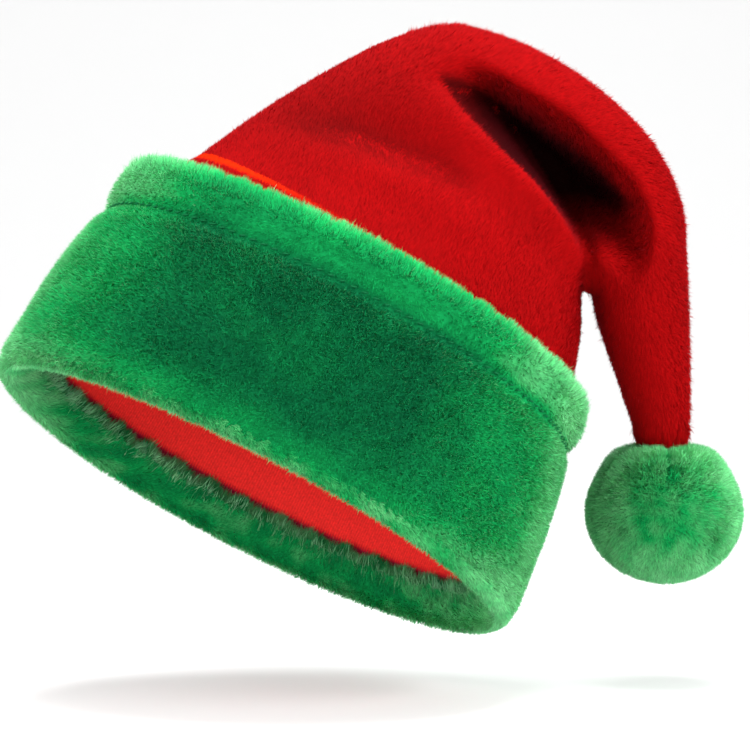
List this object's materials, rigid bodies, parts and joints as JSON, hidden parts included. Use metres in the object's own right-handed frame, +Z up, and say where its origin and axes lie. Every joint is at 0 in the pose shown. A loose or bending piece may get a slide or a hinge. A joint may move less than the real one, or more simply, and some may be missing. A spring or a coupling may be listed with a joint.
{
  "type": "santa hat",
  "caption": "Santa hat with a red plush crown bent over to the side, a padded green fur cuff, a red knit lining and a hanging green fur pompom.",
  "frame": {"origin": "middle of the opening at the rim, where the head goes in", "axes": "+Z up as worn, +X towards the side the tail hangs on, -Y towards the viewer; the hat leans 27.5 degrees towards +X and its front rim is raised by 19.5 degrees"},
  "size_m": [0.3243, 0.183, 0.2667],
  "materials": {
    "red_plush": "short plush pile, matt, with a soft sheen at its edges",
    "green_fur": "dense cut fur pile, darker at the roots and pale at the tips",
    "red_knit": "fine ribbed knit, matt",
    "pompom_fur": "fur clipped to a ball, darker between its locks"
  },
  "bodies": {
    "root": {"crown": "red_plush", "cuff": "green_fur", "lining": "red_knit", "pompom": "pompom_fur"}
  },
  "joints": []
}
